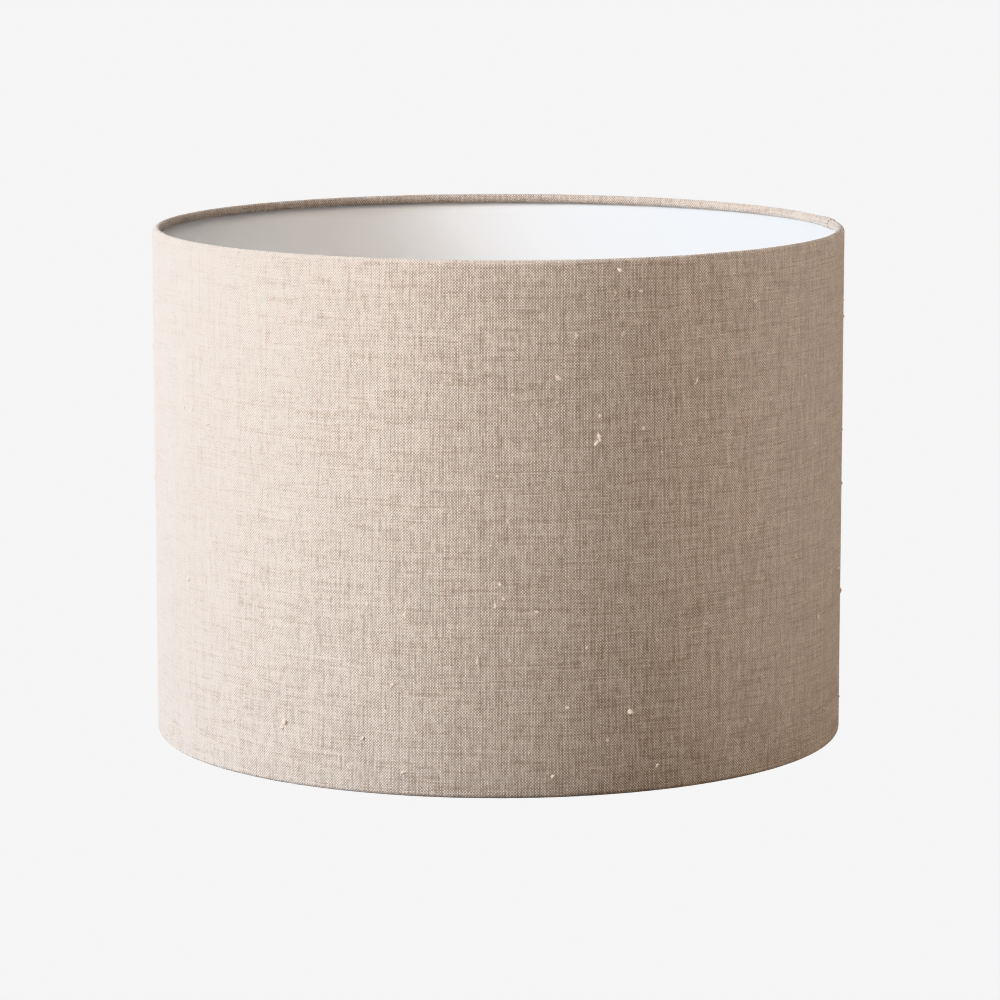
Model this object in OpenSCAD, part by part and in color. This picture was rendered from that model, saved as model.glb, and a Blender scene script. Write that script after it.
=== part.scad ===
// Drum lamp shade with rolled edges.
// A fabric strip is laminated to a plastic lining, rolled over a wire ring at each end,
// and carried by a three-arm fitter that is welded to the bottom ring.
// The origin is the centre of the bottom edge's plane. +Z is up and -Y is the front.
// The lap seam is at the right, just behind the drum's widest line.

/* [Shade] */
// Outside diameter over the fabric
shade_d = 400; // [300:5:500]
// Height over both rolled edges
shade_h = 295; // [200:5:400]

/* [Laminate] */
// Thickness of the fabric
fabric_t = 0.5; // [0.4:0.1:0.8]
// Thickness of the plastic lining
lining_t = 0.4; // [0.3:0.1:0.6]
// Width of the lap at the back seam
seam_lap_w = 12; // [8:1:20]
// Thickness of the seam's double-sided tape
seam_tape_t = 0.2; // [0.1:0.05:0.3]
// How far round the ring the fabric is rolled, from the outside, in degrees
roll_angle = 290; // [240:5:300]

/* [Rings] */
// Wire diameter of the top and bottom rings
ring_wire_d = 4; // [3:0.5:5]
// Thickness of the double-sided tape round each ring
ring_tape_t = 0.2; // [0.1:0.05:0.3]
// How much of the wire the tape covers, in degrees
ring_tape_angle = 260; // [200:10:300]

/* [Fitter] */
// Height of the fitter ring's underside above the bottom edge
fitter_rise = 45; // [40:5:80]
// Bore of the fitter ring
fitter_bore_d = 42; // [40:0.5:44]
// Outside diameter of the fitter ring
fitter_d = 60; // [56:1:70]
// Thickness of the fitter ring
fitter_t = 1.5; // [1:0.25:2]
// Chamfer on the edges of the fitter ring
fitter_chamfer = 0.3; // [0.1:0.1:0.4]
// How far the collar drawn round the fitter ring's bore stands below it
fitter_collar_h = 1.5; // [1:0.25:2]
// Wire diameter of the arms
spoke_wire_d = 3.5; // [3:0.25:4]
// Centreline radius of the bends in the arms
spoke_bend_r = 12; // [8:1:16]
// Length of the arms' straight stub at the bottom ring
spoke_stub = 12; // [8:1:30]

/* [Reducer] */
// Bore of the reducer ring
reducer_bore_d = 29; // [28:0.5:32]
// Height of the collar round the reducer's bore
reducer_collar_h = 3; // [2.5:0.5:4]
// Diameter of the reducer's flange
reducer_flange_d = 54; // [50:1:56]
// Thickness of the reducer's flange, wall, web and collar
reducer_t = 1.6; // [1.2:0.1:2]
// Depth of the reducer's spigot below its flange
reducer_depth = 5; // [4.5:0.5:8]
// Radial clearance of the spigot in the fitter ring's bore
reducer_clearance = 0.08; // [0.05:0.01:0.1]
// Number of ribs, and of finger notches, in the reducer
reducer_ribs = 6; // [3:1:8]
// Chamfer on the reducer's edges
reducer_chamfer = 0.3; // [0.1:0.1:0.5]

/* [Hidden] */
$fn = 144;

SPOKE_ANGLES = [270, 30, 150];
SEAM_ANGLE = 10;

wall_r = shade_d / 2;
wire_r = ring_wire_d / 2;
tape_r = wire_r + ring_tape_t;
roll_r = tape_r + fabric_t;
ring_r = wall_r - roll_r;
top_ring_z = shade_h - roll_r;
bottom_ring_z = roll_r;

lining_r = wall_r - fabric_t;
lining_in_r = lining_r - lining_t;
// The lining stops just short of the taped wire
lining_gap = 0.1;
lining_end = sqrt(pow(tape_r, 2) - pow(lining_in_r - ring_r, 2)) + lining_gap;
// At the seam the panel's inner end, fabric and lining, laps one tape thickness inside
// the outer end, clear of the rolls
lap_r = lining_in_r - seam_tape_t;
lap_lining_r = lap_r - fabric_t;
lap_margin = 6;
// The fabric and the tape in the lap end short of the lining's step
lap_inner_w = seam_lap_w - 3 * lining_t;

spoke_r = spoke_wire_d / 2;
spoke_slot_r = spoke_r + 0.15;
// The arms are pressed a little into the fitter ring as they are welded
weld_sink = 0.3;
spoke_end_r = fitter_d / 2 - 6;
spoke_top_z = fitter_rise + weld_sink - spoke_r;
// The two bends of an arm and the straight between them
bend_in_x = fitter_d / 2 + 6;
bend_out_x = ring_r - spoke_stub;
bend_run = bend_out_x - bend_in_x;
bend_fall = spoke_top_z - bottom_ring_z - 2 * spoke_bend_r;
bend_span = sqrt(pow(bend_run, 2) + pow(bend_fall, 2));
bend_angle = atan2(bend_fall, bend_run) + asin(2 * spoke_bend_r / bend_span);
slope_len = sqrt(pow(bend_span, 2) - pow(2 * spoke_bend_r, 2));
// The wire swells a little where it's bent, and the straights reach into the bends
bend_swell = 0.03;
bend_lap = 0.4;

fitter_top = fitter_rise + fitter_t;
spigot_r = fitter_bore_d / 2 - reducer_clearance;
reducer_seat = 0.05;
reducer_web_z = fitter_top + reducer_seat - reducer_depth;
// The spigot's foot has a longer chamfer, which leads it into the fitter ring
lead_in = 0.8;
notch_r = 3;

// A wedge of the plane from one angle to another, for cutting arcs out of circles.
// Its corners are 60 degrees apart at most.
module sector(from, to, r) {
    steps = ceil((to - from) / 60);
    polygon(concat(
        [[0, 0]],
        [for (i = [0 : steps]) let (a = from + (to - from) * i / steps) 2 * r * [cos(a), sin(a)]]
    ));
}

// An arc-shaped band: outer radius, thickness and the two angles that it spans
module band(r, t, from, to) {
    intersection() {
        difference() {
            circle(r);
            circle(r - t);
        }
        sector(from, to, r);
    }
}

// An upright strip of the drum's wall, centred on +X and clear of both rolls
module seam_strip(r, t, width) {
    half = asin(width / 2 / r);
    translate([0, 0, lap_margin])
        linear_extrude(shade_h - 2 * lap_margin)
            band(r, t, -half, half);
}

module wire_ring(z) {
    translate([0, 0, z])
        rotate_extrude()
            translate([ring_r, 0])
                circle(wire_r);
}

// The tape's gap faces the inside of the drum's wall, where the fabric's edge is tucked
module ring_tape_section() {
    middle = 90;
    translate([ring_r, 0])
        band(tape_r, ring_tape_t, middle - ring_tape_angle / 2, middle + ring_tape_angle / 2);
}

module fabric_roll_section() {
    translate([ring_r, 0])
        band(roll_r, fabric_t, 0, roll_angle);
}

// Clearance through the bottom roll for each arm
module spoke_slots() {
    for (a = SPOKE_ANGLES)
        rotate([0, 0, a])
            translate([ring_r, 0, bottom_ring_z])
                rotate([0, -90, 0])
                    cylinder(r = spoke_slot_r, h = 2 * roll_r);
}

// The strip in the lap is the fabric's inner end
module fabric_cover() {
    color("tan") {
        rotate([0, 0, SEAM_ANGLE])
            seam_strip(lap_r, fabric_t, lap_inner_w);
        difference() {
            rotate_extrude() {
                translate([wall_r - fabric_t, bottom_ring_z])
                    square([fabric_t, top_ring_z - bottom_ring_z]);
                translate([0, top_ring_z])
                    fabric_roll_section();
                translate([0, bottom_ring_z])
                    mirror([0, 1])
                        fabric_roll_section();
            }
            spoke_slots();
        }
    }
}

// The panel's inner end steps inward and laps behind the outer end
module lining_panel() {
    step_t = lining_r - lap_lining_r + lining_t;
    color("white") {
        rotate_extrude()
            translate([lining_in_r, bottom_ring_z + lining_end])
                square([lining_t, top_ring_z - bottom_ring_z - 2 * lining_end]);
        rotate([0, 0, SEAM_ANGLE]) {
            seam_strip(lap_lining_r, lining_t, seam_lap_w);
            intersection() {
                seam_strip(lining_r, step_t, seam_lap_w);
                translate([0, -seam_lap_w / 2, 0])
                    cube([wall_r, lining_t, shade_h]);
            }
        }
    }
}

module seam_tape() {
    color("ivory")
        rotate([0, 0, SEAM_ANGLE])
            seam_strip(lining_in_r, seam_tape_t, lap_inner_w);
}

module top_ring() {
    color("gainsboro") wire_ring(top_ring_z);
}

module bottom_ring() {
    color("gainsboro") wire_ring(bottom_ring_z);
}

module top_ring_tape() {
    color("ivory")
        translate([0, 0, top_ring_z])
            rotate_extrude()
                ring_tape_section();
}

// The bottom tape is in three lengths, each from one arm to the next
module bottom_ring_tape() {
    gap = asin(spoke_slot_r / ring_r);
    color("ivory")
        for (a = SPOKE_ANGLES)
            translate([0, 0, bottom_ring_z])
                rotate([0, 0, a + gap])
                    rotate_extrude(angle = 120 - 2 * gap)
                        mirror([0, 1])
                            ring_tape_section();
}

// A straight length of wire in the XZ plane, heading down from +X by a slope angle.
// It reaches a little into the bend at each end that has one.
module wire_straight(x, z, slope, len, lap_start, lap_end) {
    translate([x, 0, z])
        rotate([0, 90 + slope, 0])
            translate([0, 0, -lap_start])
                cylinder(r = spoke_r, h = lap_start + len + lap_end);
}

// A bend in the XZ plane: its centre, and the two angles that it spans
module wire_bend(x, z, from, to) {
    translate([x, 0, z])
        rotate([90, 0, 0])
            rotate([0, 0, from])
                rotate_extrude(angle = to - from)
                    translate([spoke_bend_r, 0])
                        circle(spoke_r + bend_swell);
}

// One arm along +X: flat under the fitter ring, sloping down, and flat again to the bottom ring
module spoke_wire() {
    bend_in_z = spoke_top_z - spoke_bend_r;
    bend_out_z = bottom_ring_z + spoke_bend_r;
    slope_x = bend_in_x + spoke_bend_r * sin(bend_angle);
    slope_z = bend_in_z + spoke_bend_r * cos(bend_angle);
    wire_straight(spoke_end_r, spoke_top_z, 0, bend_in_x - spoke_end_r, 0, bend_lap);
    wire_bend(bend_in_x, bend_in_z, 90 - bend_angle, 90);
    wire_straight(slope_x, slope_z, bend_angle, slope_len, bend_lap, bend_lap);
    wire_bend(bend_out_x, bend_out_z, 270 - bend_angle, 270);
    wire_straight(bend_out_x, bottom_ring_z, 0, spoke_stub, bend_lap, 0);
}

// The arm is cut where it meets the bottom ring and the fitter ring, as a weld joins them
module spoke(i) {
    color("white")
        difference() {
            rotate([0, 0, SPOKE_ANGLES[i]])
                spoke_wire();
            wire_ring(bottom_ring_z);
            fitter_plate();
        }
}

// A flat ring with a short collar drawn down round its bore, from the foot of the bore outwards
module fitter_section() {
    bore_r = fitter_bore_d / 2;
    collar_r = bore_r + fitter_t;
    rim_r = fitter_d / 2;
    c = fitter_chamfer;
    polygon([
        [bore_r, c - fitter_collar_h],
        [bore_r + c, -fitter_collar_h],
        [collar_r - c, -fitter_collar_h],
        [collar_r, c - fitter_collar_h],
        [collar_r, 0],
        [rim_r - c, 0],
        [rim_r, c],
        [rim_r, fitter_t - c],
        [rim_r - c, fitter_t],
        [bore_r + c, fitter_t],
        [bore_r, fitter_t - c]
    ]);
}

module fitter_plate() {
    translate([0, 0, fitter_rise])
        rotate_extrude()
            fitter_section();
}

module fitter_ring() {
    color("white") fitter_plate();
}

// A flanged cup whose web has a bored collar, drawn from the foot of the bore outwards
module reducer_section() {
    bore_r = reducer_bore_d / 2;
    collar_r = bore_r + reducer_t;
    flange_r = reducer_flange_d / 2;
    cup_r = spigot_r - reducer_t;
    flange_z = reducer_depth;
    flange_top = reducer_depth + reducer_t;
    c = reducer_chamfer;
    polygon([
        [bore_r, c],
        [bore_r + c, 0],
        [spigot_r - lead_in, 0],
        [spigot_r, lead_in],
        [spigot_r, flange_z],
        [flange_r - c, flange_z],
        [flange_r, flange_z + c],
        [flange_r, flange_top - c],
        [flange_r - c, flange_top],
        [cup_r + c, flange_top],
        [cup_r, flange_top - c],
        [cup_r, reducer_t],
        [collar_r, reducer_t],
        [collar_r, reducer_collar_h - c],
        [collar_r - c, reducer_collar_h],
        [bore_r + c, reducer_collar_h],
        [bore_r, reducer_collar_h - c]
    ]);
}

// Radial ribs join the collar to the cup's wall, and notches in the flange's edge give
// fingers a hold
module reducer_ring() {
    rib_in = reducer_bore_d / 2 + reducer_t / 2;
    rib_len = spigot_r - reducer_t / 2 - rib_in;
    color("whitesmoke")
        translate([0, 0, reducer_web_z])
            difference() {
                union() {
                    rotate_extrude()
                        reducer_section();
                    for (i = [0 : reducer_ribs - 1])
                        rotate([0, 0, 360 / reducer_ribs * i])
                            translate([rib_in, -reducer_t / 2, reducer_t / 2])
                                cube([rib_len, reducer_t, reducer_collar_h - reducer_t]);
                }
                for (i = [0 : reducer_ribs - 1])
                    rotate([0, 0, 360 / reducer_ribs * (i + 0.5)])
                        translate([reducer_flange_d / 2 + notch_r / 2, 0, reducer_depth - 1])
                            cylinder(r = notch_r, h = reducer_t + 2);
            }
}

fabric_cover();
lining_panel();
seam_tape();
top_ring();
top_ring_tape();
bottom_ring();
bottom_ring_tape();
spoke(0);  // spoke_1
spoke(1);  // spoke_2
spoke(2);  // spoke_3
fitter_ring();
reducer_ring();
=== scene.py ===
"""Blender scene of a drum lamp shade in natural linen.

The fabric and the lining are one laminated panel, rolled into a drum and lapped at a seam.
Lengths along the panel (s) and across it (t) are in metres, on the cloth's middle surface.
"""
import math
import random

import bmesh
import bpy
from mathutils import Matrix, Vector, noise


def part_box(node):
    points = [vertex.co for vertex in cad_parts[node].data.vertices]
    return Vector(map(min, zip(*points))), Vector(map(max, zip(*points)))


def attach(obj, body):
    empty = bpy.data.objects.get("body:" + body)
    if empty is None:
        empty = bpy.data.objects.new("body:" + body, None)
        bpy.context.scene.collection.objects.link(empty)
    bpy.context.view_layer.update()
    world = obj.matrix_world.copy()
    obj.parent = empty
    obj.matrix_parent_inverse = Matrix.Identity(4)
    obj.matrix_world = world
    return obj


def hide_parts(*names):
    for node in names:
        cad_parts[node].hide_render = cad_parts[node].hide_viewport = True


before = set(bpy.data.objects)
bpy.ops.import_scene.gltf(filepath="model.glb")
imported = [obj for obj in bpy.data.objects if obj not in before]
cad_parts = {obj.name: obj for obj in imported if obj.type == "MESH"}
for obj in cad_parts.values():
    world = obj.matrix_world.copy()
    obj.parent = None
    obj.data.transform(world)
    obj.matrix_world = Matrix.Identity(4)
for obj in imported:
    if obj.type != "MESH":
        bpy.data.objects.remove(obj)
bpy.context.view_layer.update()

# ---------------------------------------------------------------- sizes from the CAD model

MM = 0.001
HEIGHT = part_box("fabric_cover")[1].z
LINING_LOW, LINING_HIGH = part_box("lining_panel")
RING_LOW, RING_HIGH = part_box("bottom_ring")
FITTER_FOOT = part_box("fitter_ring")[0].z
WALL_R = 0.2
LINING_T = 0.4 * MM
RING_Z = (RING_HIGH.z + RING_LOW.z) / 2
CLOTH_T = 0.5 * MM
RING_R = WALL_R - RING_Z
MID_R = WALL_R - CLOTH_T / 2
ROLL_R = MID_R - RING_R
ROLL_TURN = math.radians(290)
ROLL_LEN = ROLL_R * ROLL_TURN
WALL_LEN = HEIGHT - 2 * RING_Z
CLOTH_LEN = WALL_LEN + 2 * ROLL_LEN

SEAM_ANGLE = math.radians(10)
LAP = 12 * MM
LAP_STEP = 1.1 * MM
LAP_EASE = 22 * MM
PANEL_LEN = 2 * math.pi * MID_R + LAP
SPOKE_ANGLES = [math.radians(a) for a in (270, 30, 150)]
SLOT_R = 1.9 * MM

COVER_COLUMNS = 600
LINING_COLUMNS = 360
SLOT_STEP = 0.35 * MM
BOTTOM_ROLL_ROWS, WALL_ROWS, TOP_ROLL_ROWS = 22, 26, 20
LINING_ROWS = 30
CLOSEST_COLUMNS = 0.3 * MM
LAP_COLUMNS = [LAP + k * MM for k in range(0, 26, 2)]
HEM_R = 0.45 * MM


def smooth(x):
    x = min(max(x, 0.0), 1.0)
    return x * x * (3 - 2 * x)


def wave(*place, seed=0.0):
    """Smooth noise from about -1 to 1."""
    return noise.noise(Vector(place).to_3d() + Vector((seed, seed * 1.7, -seed)))


# ---------------------------------------------------------------- the laminated panel's shape

def profile(t):
    """The panel's section at t: radius, height, outward normal, share of roll, angle rolled."""
    if t < ROLL_LEN:
        a = (ROLL_LEN - t) / ROLL_R
        side, z0 = -1, RING_Z
    elif t > ROLL_LEN + WALL_LEN:
        a = (t - ROLL_LEN - WALL_LEN) / ROLL_R
        side, z0 = 1, HEIGHT - RING_Z
    else:
        z = RING_Z + t - ROLL_LEN
        near = min(z, HEIGHT - z) - RING_Z
        return MID_R, z, 1.0, 0.0, 1 - smooth(near / (10 * MM)), 0.0
    return (RING_R + ROLL_R * math.cos(a), z0 + side * ROLL_R * math.sin(a),
            math.cos(a), side * math.sin(a), 1.0, a)


def lap_shift(s, roll):
    """The inner end of the panel goes in under the outer end, which lifts over it on the rings."""
    inner = 1 - smooth((s - LAP - 1.5 * MM) / LAP_EASE)
    outer = smooth((s - PANEL_LEN + LAP + LAP_EASE) / LAP_EASE)
    return -LAP_STEP * inner * (1 - roll) + (CLOTH_T + 0.05 * MM) * outer * roll


def ripple(angle, z):
    """The panel isn't a perfect cylinder between its rings."""
    x, y = math.cos(angle), math.sin(angle)
    free = math.sin(math.pi * min(max(z / HEIGHT, 0), 1))
    return free * (0.25 * MM * wave(x * 2.2, y * 2.2, z * 9, seed=3)
                   + 0.10 * MM * wave(x * 9, y * 9, z * 30, seed=8))


def pucker(angle, a):
    """Small gathers where the cloth turns to the inside of a ring."""
    x, y = math.cos(angle) * 60, math.sin(angle) * 60
    turn = smooth(a / math.radians(150))
    return turn * (0.10 * MM * wave(x, y, a, seed=5) + 0.05 * MM * wave(x * 3, y * 3, a, seed=6))


def panel_point(s, t, depth):
    """A point of the panel, depth outside the cloth's middle surface."""
    r, z, nr, nz, roll, a = profile(t)
    angle = SEAM_ANGLE + (LAP / 2 - s) / MID_R
    d = depth + lap_shift(s, roll) + (1 - roll) * ripple(angle, z)
    if a and depth > -CLOTH_T / 2:
        d += pucker(angle, a)
    r += nr * d
    z = max(z + nz * d, 0.0)
    return Vector((r * math.cos(angle), r * math.sin(angle), z))


def spaced(start, end, count):
    return [start + (end - start) * k / count for k in range(count + 1)]


def merged(values, closest):
    out = []
    for v in sorted(values):
        if not out or v - out[-1] > closest:
            out.append(v)
    return out


def new_object(name, verts, faces, uvs=None, flat=False):
    mesh = bpy.data.meshes.new(name)
    mesh.from_pydata([tuple(v) for v in verts], [], faces)
    mesh.validate()
    if uvs is not None:
        layer = mesh.uv_layers.new(name="weave")
        for loop in mesh.loops:
            layer.data[loop.index].uv = uvs[loop.vertex_index]
    mesh.polygons.foreach_set("use_smooth", [not flat] * len(mesh.polygons))
    obj = bpy.data.objects.new(name, mesh)
    bpy.context.scene.collection.objects.link(obj)
    return obj


def tube_faces(first, rings, sides):
    """Side faces and two end caps of a tube, whose vertices are numbered ring by ring."""
    faces = []
    for k in range(rings - 1):
        for m in range(sides):
            a, b = first + k * sides + m, first + k * sides + (m + 1) % sides
            faces.append([a, b, b + sides, a + sides])
    faces.append([first + m for m in reversed(range(sides))])
    faces.append([first + (rings - 1) * sides + m for m in range(sides)])
    return faces


def spoke_s(angle):
    """Where along the panel an arm passes."""
    return (LAP / 2 - ((angle - SEAM_ANGLE) % (2 * math.pi)) * MID_R) % (2 * math.pi * MID_R)


def build_cover():
    """The linen strip: a closed thin solid with a hole for each arm in its bottom roll."""
    arms = [spoke_s(a) for a in SPOKE_ANGLES]
    fine = [c + k * SLOT_STEP for c in arms for k in range(-10, 11)]
    hem = [PANEL_LEN - e * MM for e in (0, 0.04, 0.14, 0.28, 0.45, 0.9, 1.6)]
    coarse = [s for s in spaced(0, PANEL_LEN, COVER_COLUMNS)
              if all(abs(s - c) > 4.2 * MM for c in arms) and s < PANEL_LEN - 2 * MM]
    columns = merged(coarse + fine + LAP_COLUMNS, CLOSEST_COLUMNS)
    columns = [s for s in columns if s < PANEL_LEN - 2 * MM] + sorted(hem)
    rows = (spaced(0, ROLL_LEN, BOTTOM_ROLL_ROWS)[:-1]
            + spaced(ROLL_LEN, ROLL_LEN + WALL_LEN, WALL_ROWS)
            + spaced(ROLL_LEN + WALL_LEN, CLOTH_LEN, TOP_ROLL_ROWS)[1:])
    n_s, n_t = len(columns), len(rows)

    def slot_place(s, t):
        """Sideways and upward distance from the nearest arm's centre line, on the roll's inside."""
        if t > ROLL_LEN:
            return None
        a = (ROLL_LEN - t) / ROLL_R
        if not math.radians(95) < a < math.radians(265):
            return None
        x = min((s - c for c in arms), key=abs)
        return x, -ROLL_R * math.sin(a)

    params = {}
    open_hole = set()
    for i, s in enumerate(columns):
        for j, t in enumerate(rows):
            params[i, j] = (s, t)
            place = slot_place(s, t)
            if place and math.hypot(*place) < SLOT_R * 0.93:
                open_hole.add((i, j))

    kept = [(i, j) for i in range(n_s - 1) for j in range(n_t - 1)
            if not any((i + di, j + dj) in open_hole for di in (0, 1) for dj in (0, 1))]
    kept_set = set(kept)
    used = {(i + di, j + dj) for i, j in kept for di in (0, 1) for dj in (0, 1)}
    # The hole's edge is moved on to a circle round the arm
    for i, j in used:
        round_hole = any((i + di, j + dj) in open_hole for di in (-1, 0, 1) for dj in (-1, 0, 1))
        if not round_hole:
            continue
        s, t = params[i, j]
        x, up = slot_place(s, t)
        grow = SLOT_R / math.hypot(x, up)
        sine = max(-1, min(1, -up * grow / ROLL_R))
        params[i, j] = (s - x + x * grow, ROLL_LEN - ROLL_R * (math.pi - math.asin(sine)))

    verts, uvs, index = [], [], {}
    for i, j in sorted(used):
        s, t = params[i, j]
        roll = profile(t)[4]
        from_end = PANEL_LEN - s
        hem_r = HEM_R - 0.2 * MM * roll
        fall = 0.0
        if from_end < hem_r:
            fall = hem_r - math.sqrt(max(hem_r ** 2 - (hem_r - from_end) ** 2, 0))
        lip = LINING_T * (1 - roll) if from_end < 0.5 * MM else 0.0
        for layer, depth in enumerate((CLOTH_T / 2 - fall, -CLOTH_T / 2 - lip)):
            index[i, j, layer] = len(verts)
            verts.append(panel_point(s, t, depth))
            uvs.append((s, t))

    faces = []
    for i, j in kept:
        ring = ((i, j), (i, j + 1), (i + 1, j + 1), (i + 1, j))
        faces.append([index[p + (0,)] for p in ring])
        faces.append([index[p + (1,)] for p in reversed(ring)])
        # Edges of the strip and of the holes are closed
        sides = (((i, j + 1), (i, j), (i - 1, j)), ((i + 1, j + 1), (i, j + 1), (i, j + 1)),
                 ((i + 1, j), (i + 1, j + 1), (i + 1, j)), ((i, j), (i + 1, j), (i, j - 1)))
        for a, b, beyond in sides:
            if beyond not in kept_set:
                faces.append([index[a + (0,)], index[b + (0,)], index[b + (1,)], index[a + (1,)]])
    return new_object("linen_cover", verts, faces, uvs)


cover = build_cover()


def build_lining():
    """The white panel behind the cloth, as one lapped strip."""
    start = ROLL_LEN + LINING_LOW.z - RING_Z
    end = ROLL_LEN + LINING_HIGH.z - RING_Z
    even = spaced(0, PANEL_LEN - 0.6 * MM, LINING_COLUMNS)
    columns = merged(even + LAP_COLUMNS, CLOSEST_COLUMNS)
    rows = spaced(start, end, LINING_ROWS)
    verts, uvs, faces = [], [], []
    middle = -CLOTH_T / 2
    for s in columns:
        for t in rows:
            for depth in (middle, middle - LINING_T):
                verts.append(panel_point(s, t, depth))
                uvs.append((s, t))
    n_t = len(rows)

    def at(i, j, layer):
        return (i * n_t + j) * 2 + layer

    last = len(columns) - 1
    for i in range(last):
        for j in range(n_t - 1):
            ring = ((i, j), (i, j + 1), (i + 1, j + 1), (i + 1, j))
            faces.append([at(*p, 0) for p in ring])
            faces.append([at(*p, 1) for p in reversed(ring)])
        for j, flip in ((0, False), (n_t - 1, True)):
            quad = [at(i, j, 0), at(i + 1, j, 0), at(i + 1, j, 1), at(i, j, 1)]
            faces.append(quad[::-1] if flip else quad)
    for i, flip in ((0, True), (last, False)):
        for j in range(n_t - 1):
            quad = [at(i, j, 0), at(i, j + 1, 0), at(i, j + 1, 1), at(i, j, 1)]
            faces.append(quad[::-1] if flip else quad)
    return new_object("lining_sheet", verts, faces, uvs)


lining = build_lining()

# ---------------------------------------------------------------- knots

# Degrees right of the front; height, length and width in mm; degrees of tilt from upright
SEEN_KNOTS = [
    (0.3, 119, 1.8, 1.2, 10), (-0.4, 107, 2.2, 1.2, -5), (5.9, 104, 2.2, 1.0, 80),
    (-3.3, 77, 4.0, 0.7, -8), (1.7, 77, 1.6, 1.0, 70), (-16.8, 62, 1.8, 1.4, 60),
    (13.9, 83, 2.0, 1.2, -20), (10.8, 50, 1.9, 1.3, 90), (21.0, 46, 2.6, 2.3, 15),
    (8.6, 12, 2.0, 1.4, -40), (-20.9, 106, 1.8, 1.2, 30), (-14.7, 101, 2.4, 0.9, 0),
    (-21.7, 31, 1.8, 1.2, -10), (17.3, 31, 1.6, 1.2, 25), (12.0, 254, 3.4, 0.8, 2),
    (19.7, 254, 2.4, 0.9, -12), (9.2, 231, 2.9, 1.7, 48), (15.8, 210, 1.8, 1.5, 0),
    (15.8, 198.5, 4.6, 1.3, 14), (15.4, 195, 3.0, 1.1, -30), (23.2, 202, 1.9, 1.3, 5),
    (32.6, 226, 3.2, 1.0, -28), (19.1, 289, 2.6, 1.5, 70), (-36.1, 35, 2.6, 1.9, -15),
]


SEEN_LONGER, SEEN_WIDER = 1.2, 1.3
RANDOM_KNOTS = 190
KNOT_STEPS = 8
KNOT_SIDES = 8


def knot_path(s, t, length, tilt, rng):
    """A short crooked line on the cloth's face."""
    bend = rng.uniform(-0.35, 0.35)
    points = []
    for k in range(KNOT_STEPS + 1):
        part = k / KNOT_STEPS - 0.5
        along = part * length
        aside = bend * length * math.cos(math.pi * part) * 0.5
        ds = along * math.sin(tilt) + aside * math.cos(tilt)
        dt = along * math.cos(tilt) - aside * math.sin(tilt)
        points.append((s + ds, t + dt))
    return points


def build_knots():
    """Slub knots, thick places in the yarn: those the photo shows, then a seeded scatter."""
    rng = random.Random(41)
    knots = [(math.radians(270 + a), z * MM, length * SEEN_LONGER * MM, width * SEEN_WIDER * MM,
              math.radians(tilt)) for a, z, length, width, tilt in SEEN_KNOTS]
    for _ in range(RANDOM_KNOTS):
        upright = rng.random() < 0.6
        tilt = rng.gauss(0, 0.2) + (0 if upright else math.pi / 2)
        size = rng.random() ** 2
        knots.append((rng.uniform(0, 2 * math.pi), rng.uniform(0.006, HEIGHT - 0.006),
                      (1.0 + 2.4 * size) * MM, (0.6 + 0.6 * rng.random() + 0.6 * size) * MM, tilt))
    verts, uvs, faces = [], [], []
    for angle, z, length, width, tilt in knots:
        # None lies under the outer end of the lap
        s = max(LAP / 2 + ((SEAM_ANGLE - angle) % (2 * math.pi)) * MID_R, LAP + 3 * MM)
        path = knot_path(s, ROLL_LEN + z - RING_Z, length, tilt, rng)
        first = len(verts)
        lumps = rng.uniform(0, 9)
        for k, (ps, pt) in enumerate(path):
            swell = math.sin(math.pi * (k + 0.35) / (KNOT_STEPS + 0.7)) ** 0.7
            swell *= 1 + 0.25 * math.sin(lumps + k * 1.7)
            q = path[min(k + 1, KNOT_STEPS)]
            p = path[max(k - 1, 0)]
            run = math.hypot(q[0] - p[0], q[1] - p[1])
            across = (-(q[1] - p[1]) / run, (q[0] - p[0]) / run)
            for m in range(KNOT_SIDES):
                b = 2 * math.pi * m / KNOT_SIDES
                side = math.cos(b) * width / 2 * swell
                rise = (math.sin(b) * 0.55 + 0.18) * width * swell
                here = (ps + across[0] * side, pt + across[1] * side)
                verts.append(panel_point(*here, CLOTH_T / 2 + rise))
                uvs.append(here)
        faces += tube_faces(first, KNOT_STEPS + 1, KNOT_SIDES)
    return new_object("linen_knots", verts, faces, uvs)


knots = build_knots()

# ---------------------------------------------------------------- welds under the fitter ring

WELD_X = 27.2 * MM
WELD_SIDE = 1.65 * MM
FITTER_COLLAR = 1.5 * MM


def build_welds():
    """A bead of weld on each side of each arm, under the fitter ring's plate."""
    rng = random.Random(7)
    verts, faces = [], []
    rings, sides = 9, 10
    plate_z = FITTER_FOOT + FITTER_COLLAR
    for angle in SPOKE_ANGLES:
        along = Vector((math.cos(angle), math.sin(angle), 0))
        across = Vector((-math.sin(angle), math.cos(angle), 0))
        for side in (-1, 1):
            half = rng.uniform(2.0, 2.5) * MM
            middle = along * (WELD_X + rng.uniform(-0.3, 0.3) * MM) + across * side * WELD_SIDE
            middle.z = plate_z - 0.35 * MM
            first = len(verts)
            for k in range(rings):
                a = math.pi * (k + 0.6) / (rings + 0.2)
                lump = 1 + rng.uniform(-0.14, 0.14)
                for m in range(sides):
                    b = 2 * math.pi * m / sides
                    verts.append(middle - along * math.cos(a) * half
                                 + across * math.cos(b) * math.sin(a) * 0.85 * MM * lump
                                 + Vector((0, 0, math.sin(b) * math.sin(a) * 0.75 * MM * lump)))
            faces += tube_faces(first, rings, sides)
    return new_object("weld_beads", verts, faces)


welds = build_welds()


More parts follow.
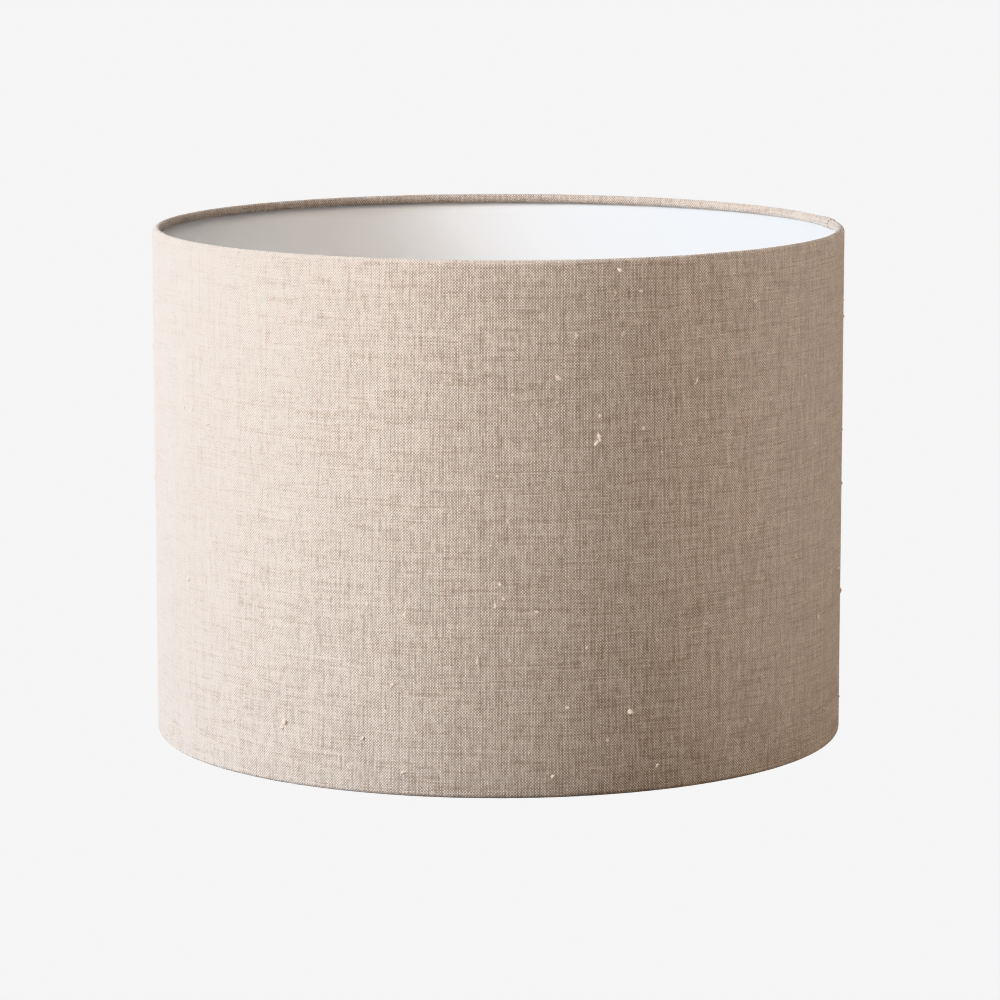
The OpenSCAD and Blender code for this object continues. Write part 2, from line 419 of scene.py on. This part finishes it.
def face_outward(obj):
    bm = bmesh.new()
    bm.from_mesh(obj.data)
    bmesh.ops.recalc_face_normals(bm, faces=bm.faces)
    bm.to_mesh(obj.data)
    bm.free()


for obj in (cover, lining, knots, welds):
    face_outward(obj)

# ---------------------------------------------------------------- shader building

class Num:
    """A shader socket that can be used in arithmetic."""

    def __init__(self, tree, socket):
        self.tree, self.socket = tree, socket

    def math(self, operation, *others):
        return calc(self.tree, operation, self, *others)

    def __add__(self, o):
        return self.math("ADD", o)

    def __sub__(self, o):
        return self.math("SUBTRACT", o)

    def __mul__(self, o):
        return self.math("MULTIPLY", o)

    def __truediv__(self, o):
        return self.math("DIVIDE", o)


def plug(tree, socket, value):
    if isinstance(value, Num):
        tree.links.new(value.socket, socket)
    elif value is not None:
        socket.default_value = value


def calc(tree, operation, *values):
    node = tree.nodes.new("ShaderNodeMath")
    node.operation = operation
    for socket, value in zip(node.inputs, values):
        plug(tree, socket, value)
    return Num(tree, node.outputs[0])


def vector(tree, x, y, z=0.0):
    node = tree.nodes.new("ShaderNodeCombineXYZ")
    for socket, value in zip(node.inputs, (x, y, z)):
        plug(tree, socket, value)
    return Num(tree, node.outputs[0])


def noise_at(tree, place, detail=0.0, rough=0.5, dims="2D"):
    node = tree.nodes.new("ShaderNodeTexNoise")
    node.noise_dimensions = dims
    plug(tree, node.inputs["Vector"], place)
    node.inputs["Scale"].default_value = 1.0
    node.inputs["Detail"].default_value = detail
    node.inputs["Roughness"].default_value = rough
    return Num(tree, node.outputs[0])


def dice(tree, value):
    """A random number for each whole number."""
    node = tree.nodes.new("ShaderNodeTexWhiteNoise")
    node.noise_dimensions = "1D"
    plug(tree, node.inputs["W"], value)
    return Num(tree, node.outputs[0])


def ramp(value, low, high, out_low=0.0, out_high=1.0):
    """Smooth step from low to high."""
    tree = value.tree
    node = tree.nodes.new("ShaderNodeMapRange")
    node.interpolation_type = "SMOOTHSTEP"
    for name, v in (("Value", value), ("From Min", low), ("From Max", high),
                    ("To Min", out_low), ("To Max", out_high)):
        plug(tree, node.inputs[name], v)
    return Num(tree, node.outputs[0])


def blend_colour(tree, factor, a, b, mode="MIX"):
    node = tree.nodes.new("ShaderNodeMix")
    node.data_type = "RGBA"
    node.blend_type = mode
    plug(tree, node.inputs["Factor"], factor)
    plug(tree, node.inputs[6], a if isinstance(a, Num) else (*a, 1))
    plug(tree, node.inputs[7], b if isinstance(b, Num) else (*b, 1))
    return Num(tree, node.outputs[2])


def new_material(name, **values):
    mat = bpy.data.materials.new(name)
    mat.use_nodes = True
    tree = mat.node_tree
    shader = tree.nodes["Principled BSDF"]
    for key, value in values.items():
        shader.inputs[key.replace("_", " ")].default_value = value
    return mat, tree, shader


def bump(tree, shader, height, distance):
    node = tree.nodes.new("ShaderNodeBump")
    node.inputs["Strength"].default_value = 1.0
    node.inputs["Distance"].default_value = distance
    plug(tree, node.inputs["Height"], height)
    tree.links.new(node.outputs[0], shader.inputs["Normal"])


def weave_uv(tree):
    node = tree.nodes.new("ShaderNodeUVMap")
    node.uv_map = "weave"
    split = tree.nodes.new("ShaderNodeSeparateXYZ")
    tree.links.new(node.outputs[0], split.inputs[0])
    return Num(tree, split.outputs[0]), Num(tree, split.outputs[1])


def object_place(tree):
    node = tree.nodes.new("ShaderNodeTexCoord")
    split = tree.nodes.new("ShaderNodeSeparateXYZ")
    tree.links.new(node.outputs["Object"], split.inputs[0])
    return [Num(tree, out) for out in split.outputs]


# ---------------------------------------------------------------- materials

PITCH = 0.80 * MM


def linen_material():
    """Plain weave, thread by thread: upright warp over and under level weft."""
    mat, tree, shader = new_material(
        "linen", Roughness=0.85, Specular_IOR_Level=0.15, Sheen_Weight=0.4, Sheen_Roughness=0.5)
    u, v = weave_uv(tree)
    # Threads wander a little from their straight lines, and aren't evenly spaced
    drift_u = noise_at(tree, vector(tree, u * 12, v * 30), 3)
    drift_v = noise_at(tree, vector(tree, u * 26 + 50, v * 14), 3)
    uneven_u = noise_at(tree, vector(tree, u * 520, 0.5), 1)
    uneven_v = noise_at(tree, vector(tree, 7.5, v * 520), 1)
    x = u / PITCH + drift_u * 1.0 + uneven_u * 0.5
    y = v / PITCH + drift_v * 1.0 + uneven_v * 0.5
    i = x.math("FLOOR")
    j = y.math("FLOOR")
    fx = x - i - 0.5
    fy = y - j - 0.5
    # Slubs: the thickness changes along each thread
    thick_w = noise_at(tree, vector(tree, i * 7.31, v * 90), 2, 0.6)
    thick_f = noise_at(tree, vector(tree, j * 5.77 + 300, u * 70), 2, 0.6)
    own_w = dice(tree, i)
    own_f = dice(tree, j + 0.5)
    knot = dice(tree, i * 1.37 + j * 91.7)
    half_w = ramp(thick_w, 0.3, 0.75, 0.36, 0.60) + own_w * 0.06
    half_f = ramp(thick_f, 0.3, 0.75, 0.34, 0.58) + own_f * 0.06
    lobe_w = (fx / half_w * 1.5708).math("MINIMUM", 1.5708).math("MAXIMUM", -1.5708).math("COSINE")
    lobe_f = (fy / half_f * 1.5708).math("MINIMUM", 1.5708).math("MAXIMUM", -1.5708).math("COSINE")
    over_w = ((y - 0.5 + i) * math.pi).math("COSINE")
    over_f = ((x - 0.5 + j) * math.pi).math("COSINE") * -1.0
    high_w = lobe_w * (over_w * 0.75 + 1.0)
    high_f = lobe_f * (over_f * 0.6 + 0.65)
    height = high_w.math("SMOOTH_MAX", high_f, 0.12)
    warp_on_top = ramp(high_w - high_f, -0.12, 0.12)
    # Colour: each thread has its own tone, which drifts along it
    tone_w = noise_at(tree, vector(tree, i * 3.7, v * 90 + 9), 3, 0.65) * 0.6 + own_w * 0.12 + 0.50
    tone_f = noise_at(tree, vector(tree, j * 2.9 + 70, u * 40), 3, 0.65) * 0.7 + own_f * 0.12 - 0.20
    # Here and there a length of yarn is plainly darker or paler
    dark_f = noise_at(tree, vector(tree, j * 13.1 + 500, u * 28), 1)
    pale_f = noise_at(tree, vector(tree, j * 8.3 + 900, u * 34), 1)
    pale_w = noise_at(tree, vector(tree, i * 9.7 + 40, v * 100), 1)
    tone_f = tone_f - ramp(dark_f, 0.57, 0.71, 0.0, 0.42) + ramp(pale_f, 0.60, 0.74, 0.0, 0.28)
    tone_w = tone_w + ramp(pale_w, 0.61, 0.73, 0.0, 0.4) - ramp(dark_f, 0.57, 0.71, 0.0, 0.2)
    tone = tone_f + (tone_w - tone_f) * warp_on_top
    cloudy = noise_at(tree, vector(tree, u * 22, v * 60), 3) - 0.5
    tone = tone + cloudy * 0.05 + (knot - 0.5) * 0.3
    dark, middle, pale = (0.37, 0.266, 0.194), (0.69, 0.528, 0.412), (0.96, 0.827, 0.715)
    colour = blend_colour(tree, ramp(tone, 0.1, 0.5), dark, middle)
    colour = blend_colour(tree, ramp(tone, 0.5, 0.9), colour, pale)
    # The gaps between the threads are painted deep brown: painted shade where the threads shade each
    # other
    colour = blend_colour(tree, ramp(height, 0.22, 1.2), (0.150, 0.103, 0.074), colour)
    # The rolled edges have no white panel behind them, and are painted a little darker, partly as
    # painted shade on the rims
    off_middle = (v - CLOTH_LEN / 2).math("ABSOLUTE")
    unbacked_and_painted_shade = ramp(off_middle, WALL_LEN / 2 + ROLL_R * 0.7, WALL_LEN / 2 + ROLL_R * 1.9)
    colour = blend_colour(tree, unbacked_and_painted_shade, colour, (0.93, 0.92, 0.91), "MULTIPLY")
    plug(tree, shader.inputs["Base Color"], colour)
    relief = height * (half_w + half_f + knot * 0.3)
    bump(tree, shader, relief, 0.22 * MM)
    return mat


def knot_material():
    mat, tree, shader = new_material(
        "linen_yarn_knot", Roughness=0.8, Specular_IOR_Level=0.3, Sheen_Weight=0.3,
        Sheen_Roughness=0.45)
    u, v = weave_uv(tree)
    fibre = noise_at(tree, vector(tree, u * 5200, v * 1600), 2)
    tone = noise_at(tree, vector(tree, u * 90, v * 90), 1)
    colour = blend_colour(tree, ramp(tone, 0.3, 0.7), (0.74, 0.605, 0.50), (0.85, 0.73, 0.63))
    colour = blend_colour(tree, ramp(fibre, 0.45, 0.9), colour, (0.62, 0.48, 0.38))
    plug(tree, shader.inputs["Base Color"], colour)
    bump(tree, shader, fibre, 0.12 * MM)
    return mat


def lining_material():
    mat, tree, shader = new_material("lining_white", Specular_IOR_Level=0.45)
    u, v = weave_uv(tree)
    # The cloth's weave and the glue print through very faintly
    grain = noise_at(tree, vector(tree, u * 900, v * 900), 2)
    drift = noise_at(tree, vector(tree, u * 30, v * 12), 3)
    colour = blend_colour(tree, drift, (0.88, 0.85, 0.82), (0.91, 0.88, 0.85))
    plug(tree, shader.inputs["Base Color"], colour)
    plug(tree, shader.inputs["Roughness"], ramp(grain, 0.2, 0.8, 0.46, 0.56))
    bump(tree, shader, grain * 0.3 + drift * 2.0, 0.05 * MM)
    return mat


def coated_material(name, colour, rough, grain_size, relief, **values):
    """Powder coat, painted wire or moulded plastic: a fine grain and faint colour drift."""
    mat, tree, shader = new_material(name, **values)
    x, y, z = object_place(tree)
    grain = noise_at(tree, vector(tree, x / grain_size, y / grain_size, z / grain_size), 2, dims="3D")
    drift = noise_at(tree, vector(tree, x * 40, y * 40, z * 40), 2, dims="3D")
    worn = tuple(c * 0.93 for c in colour)
    plug(tree, shader.inputs["Base Color"], blend_colour(tree, ramp(drift, 0.3, 0.7), worn, colour))
    plug(tree, shader.inputs["Roughness"], ramp(drift, 0.3, 0.7, rough - 0.05, rough + 0.07))
    bump(tree, shader, grain, relief)
    return mat


LINEN = linen_material()
KNOT = knot_material()
LINING = lining_material()
TAPE = coated_material("milky_tape", (0.86, 0.84, 0.78), 0.45, 0.8 * MM, 0.02 * MM)
WIRE = coated_material("white_coated_wire", (0.84, 0.84, 0.83), 0.35, 0.8 * MM, 0.012 * MM)
POWDER = coated_material("white_powder_coat", (0.90, 0.90, 0.89), 0.34, 0.6 * MM, 0.012 * MM,
                         Coat_Weight=0.15, Coat_Roughness=0.25)
PLASTIC = coated_material("white_moulded_plastic", (0.90, 0.90, 0.88), 0.38, 0.25 * MM, 0.008 * MM)


def wear(obj, mat):
    obj.data.materials.clear()
    obj.data.materials.append(mat)


CAD_MATERIALS = {
    "seam_tape": TAPE, "top_ring_tape": TAPE, "bottom_ring_tape": TAPE,
    "top_ring": WIRE, "bottom_ring": WIRE,
    "spoke_1": POWDER, "spoke_2": POWDER, "spoke_3": POWDER, "fitter_ring": POWDER,
    "reducer_ring": PLASTIC,
}
for node_name, mat in CAD_MATERIALS.items():
    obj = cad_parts[node_name]
    if not obj.material_slots:
        obj.data.materials.append(mat)
    for material_slot in obj.material_slots:
        material_slot.material = mat

wear(cover, LINEN)
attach(cover, "shade")
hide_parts("fabric_cover")

wear(knots, KNOT)
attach(knots, "shade")

wear(welds, POWDER)
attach(welds, "shade")

wear(lining, LINING)
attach(lining, "shade")
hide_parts("lining_panel")

# ---------------------------------------------------------------- camera, light and floor

scene = bpy.context.scene
scene.view_settings.view_transform = "Khronos PBR Neutral"
scene.view_settings.look = "None"
# Thread-sized colour is kept as it is, not smoothed
scene.cycles.denoising_prefilter = "NONE"

CAMERA_PLACE = (0.0009, -2.573, 0.545)
CAMERA_DOWN = 9.09
LENS_MM = 160.4

camera_data = bpy.data.cameras.new("camera")
camera_data.lens = LENS_MM
camera_data.sensor_width = 36.0
camera_data.clip_end = 100.0
camera = bpy.data.objects.new("camera", camera_data)
camera.location = CAMERA_PLACE
camera.rotation_euler = (math.radians(90 - CAMERA_DOWN), 0, 0)
scene.collection.objects.link(camera)
scene.camera = camera

AMBIENT = (1.0, 0.945, 0.90)
BACKDROP = 1.30
FLOOR_HALF = 12.0
FLOOR_Z = -0.4 * MM


def build_world():
    world = bpy.data.worlds.new("studio")
    world.use_nodes = True
    tree = world.node_tree
    tree.nodes.clear()
    out = tree.nodes.new("ShaderNodeOutputWorld")
    mix = tree.nodes.new("ShaderNodeMixShader")
    soft = tree.nodes.new("ShaderNodeBackground")
    soft.inputs["Color"].default_value = (*AMBIENT, 1)
    # The studio is brighter low down than high up, darker on the right, and bright overhead
    coords = tree.nodes.new("ShaderNodeTexCoord")
    split = tree.nodes.new("ShaderNodeSeparateXYZ")
    tree.links.new(coords.outputs["Generated"], split.inputs[0])
    tall = ramp(Num(tree, split.outputs[2]), 0.1, 0.7, 0.68, 0.27)
    wide = ramp(Num(tree, split.outputs[0]), -0.2, 0.8, 1.0, 0.30)
    overhead = ramp(Num(tree, split.outputs[2]), 0.84, 0.97, 0.0, 0.9)
    plug(tree, soft.inputs["Strength"], tall * wide + overhead)
    seen = tree.nodes.new("ShaderNodeBackground")
    seen.inputs["Color"].default_value = (1, 1, 1, 1)
    seen.inputs["Strength"].default_value = BACKDROP
    path = tree.nodes.new("ShaderNodeLightPath")
    tree.links.new(path.outputs["Is Camera Ray"], mix.inputs[0])
    tree.links.new(soft.outputs[0], mix.inputs[1])
    tree.links.new(seen.outputs[0], mix.inputs[2])
    tree.links.new(mix.outputs[0], out.inputs[0])
    scene.world = world


build_world()


def build_floor():
    corners = ((-1, -1), (1, -1), (1, 1), (-1, 1))
    verts = [(x * FLOOR_HALF, y * FLOOR_HALF, FLOOR_Z) for x, y in corners]
    floor = new_object("floor", verts, [(0, 1, 2, 3)], flat=True)
    mat = bpy.data.materials.new("pale_floor")
    mat.use_nodes = True
    tree = mat.node_tree
    tree.nodes.clear()
    out = tree.nodes.new("ShaderNodeOutputMaterial")
    glow = tree.nodes.new("ShaderNodeEmission")
    glow.inputs["Color"].default_value = (1, 1, 1, 1)
    glow.inputs["Strength"].default_value = BACKDROP
    plain = tree.nodes.new("ShaderNodeBsdfDiffuse")
    # It sends little light up close to the shade, and more from further off and from the right
    x, y, z = object_place(tree)
    reach = ramp((x * x + y * y).math("SQRT"), 0.25, 1.1).math("MAXIMUM", ramp(x, 0.05, 0.35, 0.0, 0.45))
    plug(tree, plain.inputs["Color"], blend_colour(tree, reach, (0.28, 0.27, 0.26), (0.80, 0.78, 0.75)))
    mix = tree.nodes.new("ShaderNodeMixShader")
    path = tree.nodes.new("ShaderNodeLightPath")
    tree.links.new(path.outputs["Is Camera Ray"], mix.inputs[0])
    tree.links.new(plain.outputs[0], mix.inputs[1])
    tree.links.new(glow.outputs[0], mix.inputs[2])
    tree.links.new(mix.outputs[0], out.inputs[0])
    wear(floor, mat)


build_floor()


def area_light(name, azimuth, elevation, distance, size, power, colour):
    """A soft box, azimuth degrees left of the front as the camera sees it."""
    data = bpy.data.lights.new(name, "AREA")
    data.shape = "RECTANGLE"
    data.size, data.size_y = size
    data.energy = power
    data.color = colour
    light = bpy.data.objects.new(name, data)
    a, e = math.radians(azimuth), math.radians(elevation)
    away = Vector((-math.sin(a) * math.cos(e), -math.cos(a) * math.cos(e), math.sin(e)))
    target = Vector((0, 0, HEIGHT / 2))
    light.location = target + away * distance
    light.rotation_euler = away.to_track_quat("Z", "Y").to_euler()
    light.visible_camera = False
    scene.collection.objects.link(light)


area_light("key", 75, 24, 2.6, (1.9, 1.5), 175, (0.775, 0.875, 0.995))
area_light("fill", -107, 0, 2.6, (0.9, 0.27), 35, (1.0, 0.88, 0.76))
area_light("top", 6, 42, 1.6, (1.0, 0.7), 9, (1.0, 0.90, 0.81))
